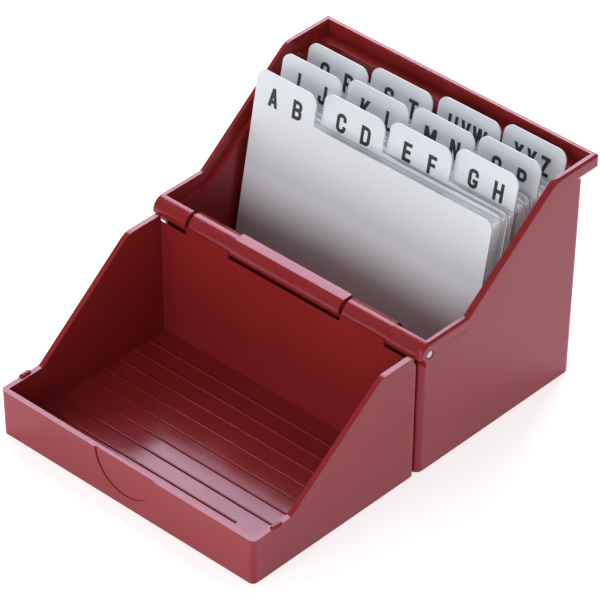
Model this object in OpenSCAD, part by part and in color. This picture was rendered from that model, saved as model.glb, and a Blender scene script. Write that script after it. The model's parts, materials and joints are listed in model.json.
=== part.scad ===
// Desktop index-card box with a hinged lid, modelled open: the lid is folded right back
// and lies flat in front of the base as a tray, and the base holds lettered dividers and
// cards. X runs along the hinge, +Y is the back, +Z is up, and the origin is the middle
// of the footprint, on the surface that the box stands on. Millimetres.

/* [Cards] */
// Width of one index card
card_w = 105; // [104:0.5:106]
// Height of one index card
card_h = 74; // [72:0.5:75]
// Thickness of one index card
card_t = 0.25; // [0.2:0.05:0.3]

/* [Dividers] */
// Height of a divider up to its shoulder
divider_h = 75; // [74:0.5:76]
// Thickness of a divider
divider_t = 0.5; // [0.4:0.1:0.6]
// Height of an index tab above the shoulder
tab_h = 11.3; // [10:0.1:11.5]
// Corner radius of a tab
tab_r = 3.8; // [2:0.1:4.5]
// Rows of tabs that repeat from left to right
tab_columns = 4; // [4:1:4]
// Foot of the front divider, behind the hinge line
first_foot = 26.9; // [26:0.1:27]
// Room that each divider takes up at its foot
divider_room = 0.7; // [0.65:0.05:0.7]
// Room that each card takes up at its foot
card_room = 0.88; // [0.8:0.01:0.88]
// Backward lean of the front divider, in degrees
front_lean = 10.8; // [10:0.1:10.9]
// Extra lean of the sheets for each millimetre further back, in degrees
lean_rate = 0.067; // [0.04:0.001:0.067]

/* [Base] */
// Outer width of the base at the front
base_w = 115.6; // [115:0.1:116.5]
// Depth of the base at the floor
base_d = 77; // [76.5:0.1:77.5]
// Height of the base at the back
back_h = 85.8; // [85:0.1:87]
// Where the side edge starts to climb
slope_y0 = 20.3; // [19:0.1:22]
// Where the side edge reaches full height
slope_y1 = 61.5; // [60:0.1:63]
// Wall thickness of both mouldings
wall = 2; // [1.9:0.05:2.1]
// Floor thickness of both mouldings
floor_t = 2.2; // [2:0.1:2.4]
// Draft of the mould, in degrees
draft = 0.85; // [0.5:0.05:1]

/* [Rim] */
// Half of the rim's outer width
rim_half_w = 59.75; // [59.6:0.05:60]
// Thickness of the rim
rim_t = 2.1; // [2:0.05:2.15]
// Radius of the rim's outer top edge
rim_round = 1.2; // [0.8:0.1:1.3]
// Depth of the ledge that the closed lid stands on
rim_h = 5.3; // [5:0.1:5.5]
// Gap between the closed lid's edge and the ledge
seat_gap = 0.2; // [0.15:0.05:0.3]

/* [Lid] */
// Half of the lid's outer width at its tall rear edge
lid_half_w = 57.2; // [57:0.05:57.3]
// Depth of the lid at the top of its front wall
lid_d = 76.3; // [76:0.1:76.4]
// Number of ribs on the lid's floor
rib_count = 9; // [5:1:9]
// Spacing of the ribs
rib_pitch = 7; // [6:0.1:7]
// Radius of the thumb recess in the front wall
thumb_r = 13.3; // [10:0.1:14]

/* [Hinge] */
// Pin axis behind the hinge line
pin_y = 2.3; // [2.2:0.05:2.4]
// Pin axis above the table
pin_z = 49.2; // [49:0.05:49.4]
// Radius of the hinge pin
pin_r = 1.25; // [1.2:0.05:1.3]
// Radius of the base's knuckles
barrel_r = 4.7; // [4.5:0.1:4.7]
// Radius of the lid's knuckles
lid_barrel_r = 4.15; // [4:0.05:4.2]
// Half length of the middle knuckle
mid_knuckle = 24; // [22:0.5:26]
// Outer end of the lid's knuckles
lid_knuckle_end = 43.8; // [42:0.2:45]

/* [Hidden] */
big = 400;
$fn = 48;

half_gap = 0.3;                       // the two mouldings stand this far from the hinge line
knuckle_gap = 0.8;                    // end float between knuckles
knuckle_shift = 0.4;                  // the lid's knuckles lie this far to the right
barrel_clear = 0.4;                   // room around a turning barrel
running_fit = 0.06;                   // radial clearance of the pin in the lid
pin_fit = 0.03;                       // radial clearance of the pin in the base
pin_inset = 0.3;                      // how far the pin's ends lie inside the side faces
pin_boss_r = 2.9;                     // the base's end knuckles behind the pin
knuckle_top = 4.45;                   // flat top of the middle knuckle, above the pin axis
knuckle_block = 2.2;                  // its flat back, behind the pin axis
knuckle_depth = 4.1;                  // and its underside, below the pin axis
knuckle_lap = 0.5;                    // its block and its barrel run into each other by this
undercut = 0.3;                       // below the pin axis, the knuckles' fronts are cut away
pin_mouth_r = pin_r + 0.3;
pin_mouth_d = 1.2;

front_h = pin_z + barrel_r;           // low front part of the base's edge
slope = atan2(back_h - front_h, slope_y1 - slope_y0);
bend_shift = tan(slope / 2);
bend_in_r = 2;                        // bend at the foot of the slope
bend_out_r = 8;                       // bend at the top of the slope
round_steps = 5;                      // facets round the rim's outer edge
rim_half_in = rim_half_w - rim_t;
rim_back_in = lid_d + 2 * pin_y + 0.4;
rim_back = rim_back_in + rim_t;
rim_band = 4.3;                       // height of the rim's upright outer face
rim_foot = 7.4;                       // where its sloping foot meets the wall
rim_overhang = 6.5;                   // height of the overhang at the back
rim_chamfer = 1.2;

lid_front_h = 2 * pin_z - (back_h - rim_h + seat_gap);
lid_rear_h = 2 * pin_z - (front_h - rim_h + seat_gap);
corner_r = 2.6;
lid_corner_r = 1.9;
inner_r = 0.4;

rib_r = 0.5;
rib_h = 0.42;
first_rib_y = 10.3;
short_rib_x = 33;                     // the two front ribs stop short on the right
rib_half = 53.6;
thumb_d = 0.5;
nub_y = 65.4;
nub_len = 2.8;
nub_r = 1.1;
pad_len = 7.4;
pad_t = 0.5;
pad_drop = 0.5;
pocket_d = 1.3;

divider_r = 3;
fillet_r = 0.9;                       // where a tab rises from the shoulder
tab_overlap = 0.5;                    // neighbouring tabs of two dividers overlap by this
seat = 0.05;                          // sheets stand this far off the floor
cards_behind = [4, 2, 3, 1, 3, 2, 2, 1, 3, 2, 2, 1];
side_shift = [-1.2, -1.2, -0.8, -1.6, -1.6, -1.4, -1.3, -1.2, 0.2, -0.6, 0.4, 0.2];
divider_count = len(cards_behind);
column_w = card_w / tab_columns;
middle_y = (rim_back - lid_d) / 2;

// ---- outlines ----------------------------------------------------------------------

function arc(c, r, from, to, steps = 8) =
    [for (i = [0:steps]) let (a = from + (to - from) * i / steps) c + r * [cos(a), sin(a)]];

// The base's side edge, in the Y-Z plane, moved square to itself by e into the wall.
function edge(e, y_from, y_to) =
    let (foot = [slope_y0 + e * bend_shift, front_h - e],
         head = [slope_y1 + e * bend_shift, back_h - e],
         r_foot = bend_in_r + e,
         r_head = bend_out_r - e)
    concat([[y_from, front_h - e]],
        arc(foot + [-r_foot * bend_shift, r_foot], r_foot, -90, slope - 90),
        arc(head + [r_head * bend_shift, -r_head], r_head, 90 + slope, 90),
        [[y_to, back_h - e]]);

// The rim's outer edge from the front of the hinge barrel to the back, moved in by e.
function rim_path(e) = concat(
    arc([pin_y, pin_z], barrel_r - e, 190, 100),
    edge(e, pin_y, rim_back + 1));

// The gap between a square corner at the origin and its rounding; the solid is below and
// to the left. The first and last facets run on a little past the corner's two faces.
function corner_gap(r, out = 0.5, run_on = 0.3) =
    let (facet = arc([-r, -r], r, 90, 0, round_steps),
         n = round_steps,
         start = facet[0] + run_on * (facet[0] - facet[1]),
         end = facet[n] + run_on * (facet[n] - facet[n - 1]))
    concat([start], [for (i = [1:n - 1]) facet[i]],
        [end, [out, end[1]], [out, out], [start[0], out]]);

// Foot of a divider, behind the hinge line, and the lean of a sheet whose foot is at y.
function foot(place) = place == 0 ? first_foot
    : foot(place - 1) + divider_room + card_room * cards_behind[place - 1];

function lean_at(y) = front_lean + lean_rate * (y - first_foot);

function reversed(list) = [for (i = [len(list) - 1:-1:0]) list[i]];

// A point of the closed lid, turned half a turn about the pin to the open lid.
function turned_open(p) = [2 * pin_y - p[0], 2 * pin_z - p[1]];

// Draws a Y-Z outline as a slab from x0 to x1.
module slab(x0, x1) {
    translate([x0, 0, 0]) rotate([90, 0, 90]) linear_extrude(x1 - x0) children();
}

module rounded_plan(x, y0, y1, r) {
    for (sx = [-1, 1], y = [y0 + r, y1 - r]) translate([sx * (x - r), y]) circle(r, $fn = 32);
}

// A box whose sides lean out by the draft angle as they rise. The named half width and
// the two Y faces hold at height z_ref, and an upright face has a lean of 0.
module drafted(half_w, y0, y1, h, r, z_ref, lean0, lean1, z0 = 0) {
    hull() for (z = [z0, h]) {
        grow = (z - z_ref) * tan(draft);
        translate([0, 0, z]) linear_extrude(0.01)
            hull() rounded_plan(half_w + grow, y0 - lean0 * grow, y1 + lean1 * grow, r);
    }
}

// The barrel's axis, with X as the cylinder's direction.
module on_pin(x0, x1, r) {
    translate([x0, pin_y, pin_z]) rotate([0, 90, 0]) cylinder(h = x1 - x0, r = r);
}

module both_sides() {
    children();
    mirror([1, 0, 0]) children();
}

module placed() {
    translate([0, -middle_y, 0]) children();
}

// ---- base --------------------------------------------------------------------------

// Everything outside the sloping foot of the rim, along a line that climbs by angle.
module below_foot(y, z, angle) {
    translate([rim_half_w, y, z]) rotate([angle, 0, 0])
        rotate([0, atan2(rim_half_w - base_w / 2, rim_foot - rim_band), 0])
            translate([0, -big / 2, -big / 2]) cube([big / 2, big, big]);
}

module rim_block() {
    difference() {
        slab(-rim_half_w, rim_half_w) polygon(concat(
            [[half_gap, pin_z]],
            edge(0, pin_y, rim_back),
            [[rim_back, back_h - rim_overhang + rim_chamfer],
             [rim_back - rim_chamfer, back_h - rim_overhang],
             [base_d - 1, back_h - rim_overhang]],
            reversed(edge(rim_foot + 0.5, half_gap, base_d - 1))));
        both_sides() {
            below_foot(slope_y0, front_h - rim_band, 0);
            intersection() {
                below_foot(slope_y1 + rim_band * bend_shift, back_h - rim_band, slope);
                below_foot(slope_y1, back_h - rim_band, 0);
            }
        }
    }
}

module base_walls() {
    intersection() {
        drafted(base_w / 2, half_gap, base_d + front_h * tan(draft), back_h, corner_r,
            front_h, 0, 1);
        slab(-big / 2, big / 2) polygon(concat([[0, 0]],
            edge(rim_h, 0, rim_back), [[rim_back, 0]]));
    }
}

// The outline of the base's knuckles round the pin axis: a quarter barrel in front of the
// pin, cut away under its front so that the lid's wall passes.
module front_barrel() {
    difference() {
        circle(barrel_r);
        translate([-barrel_r, -undercut - barrel_r])
            square([barrel_r - pin_y + half_gap, barrel_r]);
        translate([0, -barrel_r]) square(2 * barrel_r);
    }
}

module end_knuckle() {
    slab(lid_knuckle_end + knuckle_gap, rim_half_w) translate([pin_y, pin_z]) {
        front_barrel();
        circle(pin_boss_r);
    }
}

module middle_knuckle() {
    slab(-mid_knuckle, mid_knuckle) translate([pin_y, pin_z]) difference() {
        union() {
            front_barrel();
            translate([-knuckle_lap, -knuckle_depth])
                square([knuckle_block + knuckle_lap, barrel_r + knuckle_depth]);
        }
        translate([-barrel_r, knuckle_top]) square(2 * barrel_r);
    }
}

// Cuts the corner gap along the right side's outer edge, from the front of the hinge
// barrel over both flats and the slope to the back.
module round_side() {
    gap = corner_gap(rim_round);
    path = [for (p = gap) rim_path(-p[1])];
    n = len(gap);
    last = len(path[0]) - 1;
    polyhedron(
        points = [for (j = [0:last], k = [0:n - 1])
            [rim_half_w + gap[k][0], path[k][j][0], path[k][j][1]]],
        faces = concat(
            [for (j = [0:last - 1], k = [0:n - 1]) let (next = (k + 1) % n)
                [j * n + k, j * n + next, (j + 1) * n + next, (j + 1) * n + k]],
            [[for (k = [n - 1:-1:0]) k]],
            [[for (k = [0:n - 1]) last * n + k]]));
}

// Cuts it along the back edge and the two upright rear corners.
module round_back() {
    translate([-big / 2, rim_back, back_h]) rotate([90, 0, 90])
        linear_extrude(big) polygon(corner_gap(rim_round));
    both_sides() translate([rim_half_w, rim_back, back_h - 2 * rim_foot])
        linear_extrude(big) polygon(corner_gap(rim_round));
}

// Thickened corner of the rim and the pocket that the lid's nub drops into.
module rim_pad() {
    translate([rim_half_in - pad_t, rim_back_in - pad_len, back_h - rim_h])
        cube([pad_t + 0.2, pad_len + 0.2, rim_h - pad_drop]);
}

module nub_pocket() {
    translate([rim_half_in - 1.8, 2 * pin_y + nub_y - nub_len / 2 - 2.4, back_h - rim_h - pocket_d])
        cube([2.1, nub_len + 4.4, pocket_d + 0.2]);
}

module base_box() {
    color("firebrick") placed() difference() {
        union() {
            difference() {
                union() {
                    base_walls();
                    rim_block();
                }
                drafted(base_w / 2 - wall, half_gap + wall, base_d - wall + front_h * tan(draft),
                    back_h + 1, inner_r, front_h, 0, 1, floor_t);
                slab(-rim_half_in, rim_half_in) polygon(concat(
                    edge(rim_h, -1, rim_back_in),
                    [[rim_back_in, back_h + 1], [-1, back_h + 1]]));
                both_sides() nub_pocket();
            }
            both_sides() rim_pad();
            both_sides() end_knuckle();
            middle_knuckle();
        }
        both_sides() round_side();
        round_back();
        on_pin(-rim_half_w - 1, rim_half_w + 1, pin_r + pin_fit);
        both_sides() {
            on_pin(rim_half_w - pin_mouth_d, rim_half_w + 1, pin_mouth_r);
            on_pin(mid_knuckle, lid_knuckle_end + knuckle_gap, lid_barrel_r + barrel_clear);
        }
    }
}

// ---- lid ---------------------------------------------------------------------------

module lid_walls() {
    intersection() {
        drafted(lid_half_w, -lid_d - (lid_rear_h - lid_front_h) * tan(draft), -half_gap,
            lid_rear_h + 1, lid_corner_r, lid_rear_h, 1, 0);
        slab(-big / 2, big / 2) polygon(concat([[0, 0]],
            [for (p = edge(rim_h - seat_gap, 2 * pin_y, rim_back)) turned_open(p)],
            [[2 * pin_y - rim_back, 0]]));
    }
}

module lid_ribs() {
    for (i = [0:rib_count - 1]) {
        right = i < rib_count - 2 ? rib_half : short_rib_x;
        translate([-rib_half, -first_rib_y - i * rib_pitch, floor_t + rib_h - rib_r])
            rotate([0, 90, 0]) cylinder(h = rib_half + right, r = rib_r);
    }
}

// Rounded snap nub along the top outer edge of a side wall.
module nub() {
    translate([lid_half_w - (lid_rear_h - lid_front_h) * tan(draft) - 0.4, -nub_y, lid_front_h - 0.2])
        rotate([90, 0, 0]) {
            cylinder(h = nub_len, r = nub_r, center = true);
            for (end = [-1, 1]) translate([0, 0, end * nub_len / 2]) sphere(nub_r);
        }
}

module lid() {
    color("firebrick") placed() difference() {
        union() {
            difference() {
                lid_walls();
                drafted(lid_half_w - wall,
                    -lid_d + wall - (lid_rear_h - lid_front_h) * tan(draft),
                    -half_gap - wall, lid_rear_h + 2, inner_r, lid_rear_h, 1, 0, floor_t);
                on_pin(-mid_knuckle - knuckle_gap, mid_knuckle + knuckle_gap,
                    barrel_r + barrel_clear);
                both_sides() on_pin(lid_knuckle_end, rim_half_w, barrel_r + barrel_clear);
            }
            lid_ribs();
            both_sides() nub();
            translate([knuckle_shift, 0, 0]) both_sides()
                on_pin(mid_knuckle + knuckle_gap, lid_knuckle_end, lid_barrel_r);
        }
        both_sides() on_pin(0, rim_half_w, pin_r + running_fit);
        translate([0, thumb_d - lid_d, lid_front_h]) rotate([90, 0, 0])
            cylinder(h = 5, r = thumb_r, $fn = 96);
    }
}

module hinge_pin() {
    color("silver") placed() on_pin(pin_inset - rim_half_w, rim_half_w - pin_inset, pin_r);
}

// ---- sheets ------------------------------------------------------------------------

// Stands a sheet of thickness t in the box, with its front foot at x and y.
module standing(x, y, lean, t) {
    placed() translate([x, y, floor_t + seat + t * sin(lean)])
        rotate([90 - lean, 0, 0]) translate([0, 0, -t]) linear_extrude(t) children();
}

module corner_cut(x, y, r, sx) {
    translate([x, y]) difference() {
        translate([sx > 0 ? -r : 0, -r]) square(r);
        translate([-sx * r, -r]) circle(r);
    }
}

// Fills the corner where a tab rises from the shoulder at x, on the side sx.
module tab_fillet(x, sx) {
    translate([x, divider_h]) difference() {
        translate([sx > 0 ? -0.1 : -fillet_r, -0.1]) square(fillet_r + 0.1);
        translate([sx * fillet_r, fillet_r]) circle(fillet_r);
    }
}

module divider_shape(column) {
    first = column == 0;
    last = column == tab_columns - 1;
    left = -card_w / 2 + column * column_w - (first ? 0 : tab_overlap / 2);
    right = -card_w / 2 + (column + 1) * column_w + (last ? 0 : tab_overlap / 2);
    difference() {
        union() {
            translate([-card_w / 2, 0]) square([card_w, divider_h]);
            translate([left, divider_h - 1]) square([right - left, tab_h + 1]);
            if (!first) tab_fillet(left, -1);
            if (!last) tab_fillet(right, 1);
        }
        corner_cut(left, divider_h + tab_h, tab_r, -1);
        corner_cut(right, divider_h + tab_h, tab_r, 1);
        if (!first) corner_cut(-card_w / 2, divider_h, divider_r, -1);
        if (!last) corner_cut(card_w / 2, divider_h, divider_r, 1);
    }
}

module divider(place) {
    color("gainsboro")
        standing(side_shift[place], foot(place), lean_at(foot(place)), divider_t)
            divider_shape(place % tab_columns);
}

// The cards behind one divider lean alike, halfway between it and the next.
module cards(place) {
    lean = lean_at((foot(place) + foot(place + 1)) / 2);
    color("white") for (i = [1:cards_behind[place]])
        standing(side_shift[place], foot(place) + card_room * i, lean, card_t)
            translate([-card_w / 2, 0]) square([card_w, card_h]);
}

base_box();
lid();
hinge_pin();
for (i = [0:divider_count - 1]) {
    divider(i);
    cards(i);
}
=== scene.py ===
"""Looks for a desktop index-card box that stands open, with its lid folded back as a tray.

The CAD nodes keep their shapes. This script rounds their edges, gives them materials,
prints the index letters on the tabs and lights the box on a pale table.
"""
import json
import math

import bpy
from mathutils import Matrix, Vector


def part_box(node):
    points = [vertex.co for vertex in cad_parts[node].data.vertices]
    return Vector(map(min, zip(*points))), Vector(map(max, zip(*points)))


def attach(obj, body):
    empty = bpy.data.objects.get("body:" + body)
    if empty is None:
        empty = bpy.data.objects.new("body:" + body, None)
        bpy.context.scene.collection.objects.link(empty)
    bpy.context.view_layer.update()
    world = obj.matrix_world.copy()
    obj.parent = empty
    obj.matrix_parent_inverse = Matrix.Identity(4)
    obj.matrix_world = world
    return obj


MM = 0.001

EDGE_RADII = {"base_box": 0.3 * MM, "lid": 0.6 * MM}
BEVEL_STEPS = 3
SHARP_ANGLE = math.radians(30)   # edges sharper than this are rounded
FLAT_ANGLE = math.radians(0.3)   # faces that meet at less than this are joined into one
WELD_GAP = 0.002 * MM

# The camera looks at AIM from this far away. Its view is nearly free of perspective.
VIEW_AZIMUTH = math.radians(42.79)
VIEW_ELEVATION = math.radians(36.96)
VIEW_ROLL = math.radians(0.34)
VIEW_DISTANCE = 1453.9 * MM
AIM = Vector((3.54, -1.61, 42.21)) * MM
LENS = 268.43
SENSOR_WIDTH = 36

# Where each softbox stands round the box, in degrees, then its distance, width and height
# in metres, and its power in watts.
SOFTBOXES = {
    "back_softbox": (222, 42, 1.6, 1.3, 0.9, 26),
    "right_softbox": (110, 40, 1.6, 0.8, 0.8, 1),
    "front_softbox": (8, 22, 1.6, 1.4, 0.8, 12),
}
SKY_STRENGTH = 0.33
TABLE_SIZE = 8

SECTIONS = ("AB", "CD", "EF", "GH", "IJ", "KL", "MN", "OP", "QR", "ST", "UVW", "XYZ")
TAB_COLUMNS = 4

# The index letters, in millimetres.
CAP_HEIGHT = 6.9
STROKE = 1.35
LETTER_WIDTH = 4.2               # of most letters; LETTER_WIDTHS has the others
LETTER_WIDTHS = {"E": 3.7, "F": 3.6, "I": STROKE, "J": 3.6, "L": 3.5, "M": 5.3, "W": 6.3, "Z": 3.9}
BEND = 1.5                       # of a letter's round corners, at the middle of the stroke
CAP_DROP = 4.9                   # from the top of a tab to the top of its letters
INK_DEPTH = 0.02
INK_LAYER = 0.002                # each stroke of a letter lies this far above the one before
NEAR = 1e-4                      # points of a stroke closer than this are one point
PAIR_PLACES = (0.31, 0.72)       # letter centres, as shares of a tab's width
TRIPLE_PLACES = (0.26, 0.47, 0.70)

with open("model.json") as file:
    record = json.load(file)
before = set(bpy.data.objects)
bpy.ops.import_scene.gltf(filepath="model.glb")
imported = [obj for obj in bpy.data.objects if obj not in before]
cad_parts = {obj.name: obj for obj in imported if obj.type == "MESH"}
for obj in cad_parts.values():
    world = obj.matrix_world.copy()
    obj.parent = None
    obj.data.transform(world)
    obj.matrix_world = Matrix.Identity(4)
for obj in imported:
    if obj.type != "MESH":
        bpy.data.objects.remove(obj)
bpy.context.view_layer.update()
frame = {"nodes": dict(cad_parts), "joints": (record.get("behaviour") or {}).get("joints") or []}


# ---- materials ---------------------------------------------------------------------

class Nodes:
    """A short way to write a material's node tree."""

    def __init__(self, name):
        self.material = bpy.data.materials.new(name)
        self.material.use_nodes = True
        self.tree = self.material.node_tree
        self.shader = self.tree.nodes["Principled BSDF"]

    def add(self, kind, **settings):
        node = self.tree.nodes.new(kind)
        for key, value in settings.items():
            setattr(node, key, value)
        return node

    def link(self, source, target):
        self.tree.links.new(source, target)

    def set(self, **values):
        for key, value in values.items():
            self.shader.inputs[key.replace("_", " ")].default_value = value

    def place(self, scale=(1, 1, 1)):
        """The object's own coordinates, so that a pattern rides with its part."""
        coordinates = self.add("ShaderNodeTexCoord")
        mapping = self.add("ShaderNodeMapping")
        mapping.inputs["Scale"].default_value = scale
        self.link(coordinates.outputs["Object"], mapping.inputs["Vector"])
        return mapping.outputs["Vector"]

    def noise(self, scale, detail=2.0, stretch=(1, 1, 1)):
        noise = self.add("ShaderNodeTexNoise")
        noise.inputs["Scale"].default_value = scale
        noise.inputs["Detail"].default_value = detail
        self.link(self.place(stretch), noise.inputs["Vector"])
        return noise.outputs["Fac"]

    def between(self, factor, low, high, start=0.3, end=0.7):
        """Spreads a pattern over a range of values."""
        spread = self.add("ShaderNodeMapRange")
        spread.inputs["From Min"].default_value = start
        spread.inputs["From Max"].default_value = end
        spread.inputs["To Min"].default_value = low
        spread.inputs["To Max"].default_value = high
        self.link(factor, spread.inputs["Value"])
        return spread.outputs["Result"]

    def blend_colors(self, factor, first, second):
        mix = self.add("ShaderNodeMix", data_type="RGBA")
        mix.inputs[6].default_value = (*first, 1)
        mix.inputs[7].default_value = (*second, 1)
        self.link(factor, mix.inputs[0])
        return mix.outputs[2]

    def bump(self, height, distance, strength=1.0, under=None):
        bump = self.add("ShaderNodeBump")
        bump.inputs["Distance"].default_value = distance
        bump.inputs["Strength"].default_value = strength
        self.link(height, bump.inputs["Height"])
        if under is not None:
            self.link(under, bump.inputs["Normal"])
        return bump.outputs["Normal"]


def red_plastic():
    """Glossy moulded polystyrene: even colour, soft waves in the gloss, faint handling marks."""
    m = Nodes("red_plastic")
    m.set(IOR=1.5, Specular_IOR_Level=0.4, Specular_Tint=(0.85, 0.62, 1.0, 1))
    cloud = m.between(m.noise(28, 2), 0, 1)
    color = m.blend_colors(cloud, (0.240, 0.0175, 0.0158), (0.268, 0.0200, 0.0183))
    m.link(color, m.shader.inputs["Base Color"])
    m.link(m.between(m.noise(45, 4), 0.13, 0.20), m.shader.inputs["Roughness"])
    waves = m.bump(m.noise(55, 1), 0.05 * MM)
    grain = m.bump(m.noise(2600, 2), 0.004 * MM, under=waves)
    m.link(grain, m.shader.inputs["Normal"])
    return m.material


def divider_sheet():
    """Matt light grey plastic sheet with a fine grain."""
    m = Nodes("divider_sheet")
    m.set(IOR=1.45)
    cloud = m.between(m.noise(30, 3), 0, 1)
    color = m.blend_colors(cloud, (0.750, 0.780, 0.835), (0.775, 0.803, 0.855))
    m.link(color, m.shader.inputs["Base Color"])
    m.link(m.between(m.noise(300, 3), 0.42, 0.55), m.shader.inputs["Roughness"])
    m.link(m.bump(m.noise(1800, 3), 0.01 * MM), m.shader.inputs["Normal"])
    return m.material


def white_card():
    """Plain index card: soft white with short fibres."""
    m = Nodes("white_card")
    m.set(IOR=1.4)
    fibres = m.between(m.noise(900, 4, (1, 4, 1)), 0, 1)
    color = m.blend_colors(fibres, (0.84, 0.86, 0.90), (0.88, 0.90, 0.94))
    m.link(color, m.shader.inputs["Base Color"])
    m.set(Roughness=0.75)
    m.link(m.bump(m.noise(1500, 4, (1, 3, 1)), 0.02 * MM), m.shader.inputs["Normal"])
    return m.material


def printed_ink():
    """Charcoal ink with a slight unevenness."""
    m = Nodes("printed_ink")
    m.set(IOR=1.45)
    speckle = m.between(m.noise(1400, 3), 0, 1)
    color = m.blend_colors(speckle, (0.018, 0.020, 0.024), (0.028, 0.030, 0.036))
    m.link(color, m.shader.inputs["Base Color"])
    m.set(Roughness=0.5)
    return m.material


def pin_steel():
    """Drawn wire, streaked along its length."""
    m = Nodes("pin_steel")
    m.set(Metallic=1.0)
    streaks = m.between(m.noise(700, 2, (0.05, 1, 1)), 0, 1)
    color = m.blend_colors(streaks, (0.40, 0.40, 0.41), (0.50, 0.50, 0.51))
    m.link(color, m.shader.inputs["Base Color"])
    m.link(m.between(streaks, 0.32, 0.45, 0, 1), m.shader.inputs["Roughness"])
    return m.material


def pale_table():
    """Matt white that glows a little, so that the box's shadow stays faint."""
    m = Nodes("pale_table")
    m.set(Base_Color=(0.86, 0.86, 0.87, 1), Roughness=0.6, Specular_IOR_Level=0.1,
          Emission_Color=(1, 1, 1, 1), Emission_Strength=0.58)
    return m.material


# ---- the CAD nodes -----------------------------------------------------------------

def dress(node, material):
    """Gives a CAD node one material on all its faces."""
    mesh = frame["nodes"][node].data
    mesh.materials.clear()
    mesh.materials.append(material)


def round_edges(node, radius):
    """Joins the imported faces up and rounds the sharp edges between them."""
    piece = frame["nodes"][node]
    weld = piece.modifiers.new("weld", "WELD")
    weld.merge_threshold = WELD_GAP
    flat = piece.modifiers.new("flat", "DECIMATE")
    flat.decimate_type = "DISSOLVE"
    flat.angle_limit = FLAT_ANGLE
    bevel = piece.modifiers.new("bevel", "BEVEL")
    bevel.width = radius
    bevel.segments = BEVEL_STEPS
    bevel.limit_method = "ANGLE"
    bevel.angle_limit = SHARP_ANGLE
    bevel.harden_normals = True
    for face in piece.data.polygons:
        face.use_smooth = True
    normals = piece.modifiers.new("normals", "WEIGHTED_NORMAL")
    normals.keep_sharp = True


plastic = red_plastic()
for moulding, edge_radius in EDGE_RADII.items():
    dress(moulding, plastic)
    round_edges(moulding, edge_radius)

dress("hinge_pin", pin_steel())

sheet_material = divider_sheet()
card_material = white_card()
for section in SECTIONS:
    dress("divider_" + section.lower(), sheet_material)
    dress("cards_" + section.lower(), card_material)


# ---- index letters -----------------------------------------------------------------

def slide_axis(body):
    """The direction in which a sheet lifts out, along its own leaning plane."""
    joint = next(j for j in frame["joints"] if j["child"] == body)
    return Vector(joint["axis"])


class Sheet:
    """Where a divider stands: its front face's lower left corner and its directions."""

    def __init__(self, node):
        low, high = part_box(node)
        self.up = slide_axis(node).normalized()
        rise, back = self.up.z, self.up.y
        depth, tall = high.y - low.y, high.z - low.z
        self.thickness = (depth * rise - tall * back) / (rise * rise - back * back)
        self.height = (tall - self.thickness * back) / rise
        self.width = high.x - low.x
        self.corner = Vector((low.x, low.y, low.z + self.thickness * back))
        self.normal = Vector((0, -rise, back))

    def place(self, across, height):
        """The matrix that puts a flat drawing on the front face."""
        across_axis = Vector((1, 0, 0))
        matrix = Matrix((across_axis, self.up, self.normal)).transposed().to_4x4()
        matrix.translation = self.corner + across_axis * across + self.up * height
        return matrix


# The letters are condensed grotesque capitals. PENS holds strokes of even width, and SLANTS
# straight strokes with level ends, in a box from 0 to 1 across and up the letter.
STEM = ((0, 0), (0, 1))
BOWL = ((0, 1), (1, 1), (1, 0.45), (0, 0.45))
PENS = {
    "A": [((0.25, 0.22), (0.75, 0.22))],
    "B": [STEM, ((0, 1), (0.97, 1), (0.97, 0.52), (0, 0.52)), ((0, 0.52), (1, 0.52), (1, 0), (0, 0))],
    "C": [((1, 0.76), (1, 1), (0, 1), (0, 0), (1, 0), (1, 0.24))],
    "D": [STEM, ((0, 0), (1, 0), (1, 1), (0, 1))],
    "E": [STEM, ((0, 1), (1, 1)), ((0, 0.52), (0.85, 0.52)), ((0, 0), (1, 0))],
    "F": [STEM, ((0, 1), (1, 1)), ((0, 0.5), (0.85, 0.5))],
    "G": [((1, 0.79), (1, 1), (0, 1), (0, 0), (1, 0), (1, 0.37)), ((0.7, 0.37), (1, 0.37))],
    "H": [STEM, ((1, 0), (1, 1)), ((0, 0.5), (1, 0.5))],
    "I": [STEM],
    "J": [((1, 1), (1, 0), (0, 0), (0, 0.25))],
    "K": [STEM],
    "L": [STEM, ((0, 0), (1, 0))],
    "M": [STEM, ((1, 0), (1, 1))],
    "N": [STEM, ((1, 0), (1, 1))],
    "O": [((0, 0.5), (0, 0), (1, 0), (1, 1), (0, 1), (0, 0.5))],
    "P": [STEM, BOWL],
    "Q": [((0, 0.5), (0, 0), (1, 0), (1, 1), (0, 1), (0, 0.5))],
    "R": [STEM, BOWL],
    "S": [((1, 0.8), (1, 1), (0, 1), (0, 0.56), (1, 0.46), (1, 0), (0, 0), (0, 0.21))],
    "T": [((0, 1), (1, 1)), ((0.5, 0), (0.5, 1))],
    "U": [((0, 1), (0, 0), (1, 0), (1, 1))],
    "Y": [((0.5, 0), (0.5, 0.38))],
    "Z": [((0, 1), (1, 1)), ((0, 0), (1, 0))],
}
SLANTS = {
    "A": [((0, 0), (0.5, 1)), ((1, 0), (0.5, 1))],
    "K": [((0.1, 0.33), (0.95, 1)), ((0.4, 0.5), (1, 0))],
    "M": [((0.05, 1), (0.5, 0.25)), ((0.95, 1), (0.5, 0.25))],
    "N": [((0.02, 1), (0.98, 0))],
    "Q": [((0.6, 0.25), (1.05, 0))],
    "R": [((0.55, 0.48), (1, 0))],
    "V": [((0, 1), (0.5, 0)), ((1, 1), (0.5, 0))],
    "W": [((0, 1), (0.25, 0)), ((0.5, 1), (0.25, 0)), ((0.5, 1), (0.75, 0)), ((1, 1), (0.75, 0))],
    "X": [((0, 0), (1, 1)), ((0, 1), (1, 0))],
    "Y": [((0, 1), (0.5, 0.35)), ((1, 1), (0.5, 0.35))],
    "Z": [((0.05, 0.06), (0.95, 0.94))],
}


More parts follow.
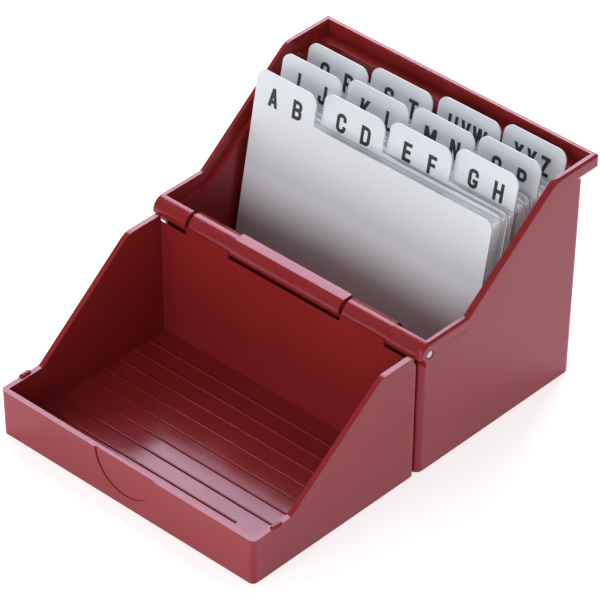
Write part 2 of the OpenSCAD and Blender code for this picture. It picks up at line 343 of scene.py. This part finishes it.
def rounded_path(points, radius, steps=8):
    """The same way with its corners rounded, each by as much as fits."""
    path = [points[0]]
    last_corner = len(points) - 2
    for index in range(1, last_corner + 1):
        corner = points[index]
        to_before, to_after = points[index - 1] - corner, points[index + 1] - corner
        half_turn = to_before.angle(to_after) / 2
        reach = min(radius / math.tan(half_turn),
                    to_before.length / (1 if index == 1 else 2),
                    to_after.length / (1 if index == last_corner else 2))
        first = corner + to_before.normalized() * reach
        last = corner + to_after.normalized() * reach
        for step in range(steps + 1):
            share = step / steps
            path.append(first.lerp(corner, share).lerp(corner.lerp(last, share), share))
    path.append(points[-1])
    return path[:1] + [point for last, point in zip(path, path[1:]) if (point - last).length > NEAR]


def pen_stroke(points):
    """A stroke of even width with square ends: its corners, and its faces in a row."""
    half = STROKE / 2
    path = rounded_path(points, BEND)
    path[0] = path[0] + (path[0] - path[1]).normalized() * half
    path[-1] = path[-1] + (path[-1] - path[-2]).normalized() * half
    corners = []
    for index, point in enumerate(path):
        behind = point - path[index - 1] if index else path[1] - point
        ahead = path[index + 1] - point if index < len(path) - 1 else behind
        along = (behind.normalized() + ahead.normalized()).normalized()
        side = Vector((-along.y, along.x)) * half
        corners += [point - side, point + side]
    return corners, [(i, i + 2, i + 3, i + 1) for i in range(0, len(corners) - 2, 2)]


def slant_stroke(ends):
    """A straight stroke whose ends are level: its corners and its one face."""
    foot, head = sorted(ends, key=lambda end: end.y)
    run = (head.x - foot.x) / (head.y - foot.y)
    half = Vector((STROKE / 2 * math.hypot(1, run), 0))
    return [foot - half, foot + half, head + half, head - half], [(0, 1, 2, 3)]


def letter_strokes(character, width):
    """Each stroke of the letter at its full size, as corners and faces."""
    inset = STROKE / 2
    strokes = []
    for stroke in PENS.get(character, []):
        strokes.append(pen_stroke([Vector((inset + x * (width - STROKE),
                                           inset + y * (CAP_HEIGHT - STROKE))) for x, y in stroke]))
    for ends in SLANTS.get(character, []):
        strokes.append(slant_stroke([Vector((inset + x * (width - STROKE), y * CAP_HEIGHT))
                                     for x, y in ends]))
    return strokes


def letter_mesh(character):
    """The letter's strokes as one flat mesh, in metres, centred on its foot."""
    width = LETTER_WIDTHS.get(character, LETTER_WIDTH)
    points, faces = [], []
    for layer, (corners, pieces) in enumerate(letter_strokes(character, width)):
        height = (INK_DEPTH + INK_LAYER * layer) * MM
        faces += [[len(points) + i for i in piece] for piece in pieces]
        points += [((corner.x - width / 2) * MM, corner.y * MM, height) for corner in corners]
    mesh = bpy.data.meshes.new("letter")
    mesh.from_pydata(points, [], faces)
    return mesh


def print_letter(character, sheet, across, name, material):
    """Adds the letter to the scene, flat on the sheet's front face."""
    mesh = letter_mesh(character)
    mesh.transform(sheet.place(across, sheet.height - (CAP_DROP + CAP_HEIGHT) * MM))
    mesh.materials.append(material)
    piece = bpy.data.objects.new(name, mesh)
    bpy.context.scene.collection.objects.link(piece)
    return piece


ink = printed_ink()
for index, section in enumerate(SECTIONS):
    node = "divider_" + section.lower()
    sheet = Sheet(node)
    tab_width = sheet.width / TAB_COLUMNS
    tab_left = tab_width * (index % TAB_COLUMNS)
    places = PAIR_PLACES if len(section) == 2 else TRIPLE_PLACES
    for character, share in zip(section, places):
        piece = print_letter(character, sheet, tab_left + tab_width * share,
                             "letter_" + character.lower(), ink)
        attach(piece, node)


# ---- camera, light and table -------------------------------------------------------

def direction_from(azimuth, elevation):
    """The unit vector from the object towards a place round it."""
    flat = math.cos(elevation)
    return Vector((math.sin(azimuth) * flat, -math.cos(azimuth) * flat, math.sin(elevation)))


def look_along(thing, direction, roll=0.0):
    """Turns a camera or a light to face along the direction."""
    turn = direction.to_track_quat("-Z", "Y").to_matrix().to_4x4()
    thing.matrix_world = Matrix.Translation(thing.location) @ turn @ Matrix.Rotation(roll, 4, "Z")


def add_camera():
    lens = bpy.data.cameras.new("camera")
    lens.lens = LENS
    lens.sensor_width = SENSOR_WIDTH
    camera = bpy.data.objects.new("camera", lens)
    bpy.context.scene.collection.objects.link(camera)
    towards = direction_from(VIEW_AZIMUTH, VIEW_ELEVATION)
    camera.location = AIM + towards * VIEW_DISTANCE
    look_along(camera, -towards, VIEW_ROLL)
    bpy.context.scene.camera = camera


def add_softbox(name, azimuth, elevation, distance, width, height, power):
    light = bpy.data.lights.new(name, "AREA")
    light.shape = "RECTANGLE"
    light.size = width
    light.size_y = height
    light.energy = power
    lamp = bpy.data.objects.new(name, light)
    bpy.context.scene.collection.objects.link(lamp)
    towards = direction_from(math.radians(azimuth), math.radians(elevation))
    lamp.location = AIM + towards * distance
    look_along(lamp, -towards)


add_camera()
for softbox, settings in SOFTBOXES.items():
    add_softbox(softbox, *settings)

world = bpy.data.worlds.new("studio")
world.use_nodes = True
world.node_tree.nodes["Background"].inputs["Color"].default_value = (1, 1, 1, 1)
world.node_tree.nodes["Background"].inputs["Strength"].default_value = SKY_STRENGTH
bpy.context.scene.world = world
bpy.context.scene.view_settings.view_transform = "Standard"

bpy.ops.mesh.primitive_plane_add(size=TABLE_SIZE, location=(0, 0, 0))
table = bpy.context.object
table.name = "table"
table.data.materials.append(pale_table())
